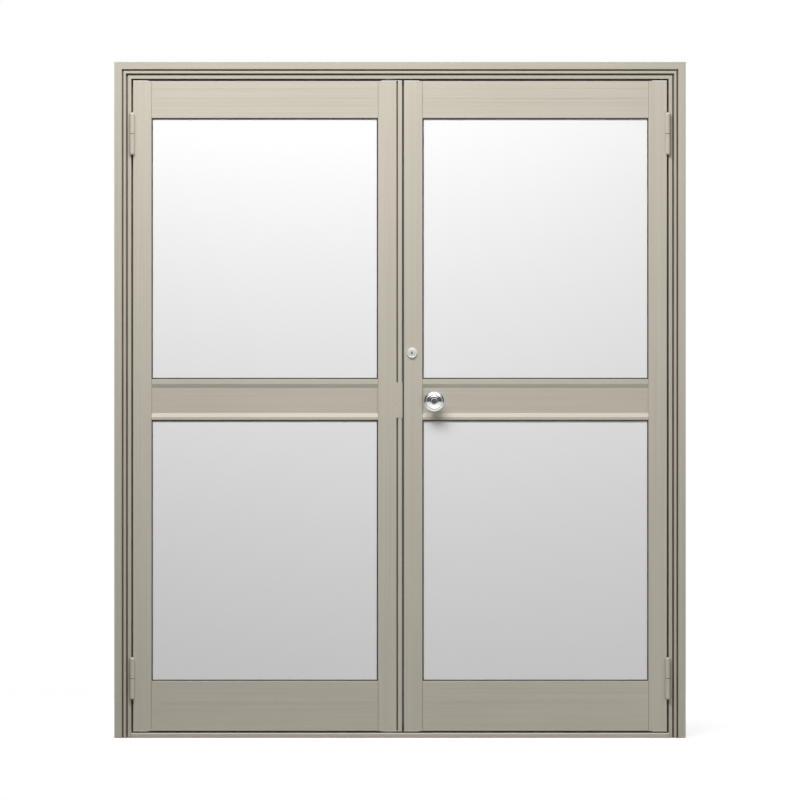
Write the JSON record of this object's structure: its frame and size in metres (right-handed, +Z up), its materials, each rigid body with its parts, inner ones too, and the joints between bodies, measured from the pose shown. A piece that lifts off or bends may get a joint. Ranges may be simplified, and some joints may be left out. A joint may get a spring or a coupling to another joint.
{
  "type": "glass door",
  "caption": "Double-leaf glazed aluminium door in its frame, with mid rails, barrel hinges, a knob latch, a deadlock and flush bolts; both leaves swing outwards.",
  "frame": {"origin": "middle of the sill's underside, midway across the frame's width and depth, on the floor", "axes": "+X to the right seen from outside, +Z up, -Y to the outside, the side that the leaves open to"},
  "size_m": [1.69, 0.158, 2],
  "materials": {
    "frame_aluminium": "satin champagne anodised, drawn along its length",
    "leaf_aluminium": "satin champagne anodised, finely reeded",
    "sill_aluminium": "satin champagne anodised, lightly worn",
    "bracket_aluminium": "mill finish",
    "glass": "white obscure glass with a fine frosted face",
    "rubber": "black, matt",
    "cap_plastic": "moulded, fine grained",
    "washer_plastic": "moulded, dark",
    "knob_chrome": "polished",
    "lock_chrome": "satin, turned",
    "lock_steel": "brushed",
    "hinge_metal": "champagne, satin"
  },
  "bodies": {
    "frame": {"frame_head": "frame_aluminium", "frame_jamb_left": "frame_aluminium", "frame_jamb_right": "frame_aluminium", "frame_sill": "sill_aluminium", "frame_stops": "frame_aluminium", "frame_corner_cleats": "bracket_aluminium", "frame_seals": "rubber", "hinge_bases": "hinge_metal", "hinge_pins": "lock_steel", "hinge_washers": "washer_plastic", "hinge_base_screws": "lock_steel", "bolt_keepers": "lock_steel"},
    "left_leaf": {"left_hinge_stile": "leaf_aluminium", "left_meeting_stile": "leaf_aluminium", "left_top_rail": "leaf_aluminium", "left_mid_rail": "leaf_aluminium", "left_bottom_rail": "leaf_aluminium", "left_rail_brackets": "bracket_aluminium", "left_upper_glass": "glass", "left_lower_glass": "glass", "left_gaskets": "rubber", "left_beads": "leaf_aluminium", "left_setting_blocks": "rubber", "left_end_caps": "cap_plastic", "left_hinge_leaves": "hinge_metal", "left_hinge_screws": "lock_steel", "meeting_strip": "leaf_aluminium", "meeting_seal": "rubber", "strikes": "hinge_metal", "flush_bolt_cases": "lock_steel"},
    "top_bolt": {"top_flush_bolt": "lock_steel"},
    "bottom_bolt": {"bottom_flush_bolt": "lock_steel"},
    "right_leaf": {"right_hinge_stile": "leaf_aluminium", "right_meeting_stile": "leaf_aluminium", "right_top_rail": "leaf_aluminium", "right_mid_rail": "leaf_aluminium", "right_bottom_rail": "leaf_aluminium", "right_rail_brackets": "bracket_aluminium", "right_upper_glass": "glass", "right_lower_glass": "glass", "right_gaskets": "rubber", "right_beads": "leaf_aluminium", "right_setting_blocks": "rubber", "right_end_caps": "cap_plastic", "right_hinge_leaves": "hinge_metal", "right_hinge_screws": "lock_steel", "latch_case": "lock_steel", "outer_rose": "knob_chrome", "inner_rose": "knob_chrome", "deadlock_case": "lock_steel", "deadlock_cylinder": "lock_chrome", "deadlock_rose": "lock_chrome"},
    "knobs": {"outer_knob": "knob_chrome", "inner_knob": "knob_chrome"},
    "knob_locking": {"knob_key_plug": "knob_chrome", "turn_button": "knob_chrome"},
    "latch": {"latch_bolt": "lock_steel"},
    "deadlock_turning": {"deadlock_key_plug": "lock_chrome", "thumb_turn": "lock_chrome"},
    "dead_bolt": {"deadbolt": "lock_steel"}
  },
  "joints": [
    {"name": "left_leaf_swing", "type": "hinge", "parent": "frame", "child": "left_leaf", "pos_m": [-0.79235, -0.0363, 0.176], "axis": [0, 0, -1], "range_deg": [0, 170]},
    {"name": "right_leaf_swing", "type": "hinge", "parent": "frame", "child": "right_leaf", "pos_m": [0.79235, -0.0363, 0.176], "axis": [0, 0, 1], "range_deg": [0, 170]},
    {"name": "top_bolt_slide", "type": "slide", "parent": "left_leaf", "child": "top_bolt", "axis": [0, 0, 1], "range_m": [0, 0.013]},
    {"name": "bottom_bolt_slide", "type": "slide", "parent": "left_leaf", "child": "bottom_bolt", "axis": [0, 0, -1], "range_m": [0, 0.013]},
    {"name": "knob_turn", "type": "hinge", "parent": "right_leaf", "child": "knobs", "pos_m": [0.101, -0.021, 0.9962], "axis": [0, -1, 0], "range_deg": [0, 60], "stiffness_Nm_per_rad": 0.3, "springref_deg": 85.94},
    {"name": "latch_slide", "type": "slide", "parent": "right_leaf", "child": "latch", "axis": [-1, 0, 0], "range_m": [0, 0.013]},
    {"name": "knob_lock_turn", "type": "hinge", "parent": "knobs", "child": "knob_locking", "pos_m": [0.101, -0.021, 0.9962], "axis": [0, -1, 0], "range_deg": [0, 90]},
    {"name": "deadlock_turn", "type": "hinge", "parent": "right_leaf", "child": "deadlock_turning", "pos_m": [0.0352, -0.021, 1.139], "axis": [0, -1, 0], "range_deg": [0, 90]},
    {"name": "deadbolt_slide", "type": "slide", "parent": "right_leaf", "child": "dead_bolt", "axis": [-1, 0, 0], "range_m": [0, 0.017]}
  ],
  "couplings": [
    {"joint": "latch_slide", "follows": "knob_turn", "m_per_rad": 0.0124},
    {"joint": "deadlock_turn", "follows": "deadbolt_slide", "rad_per_m": 92.39}
  ]
}
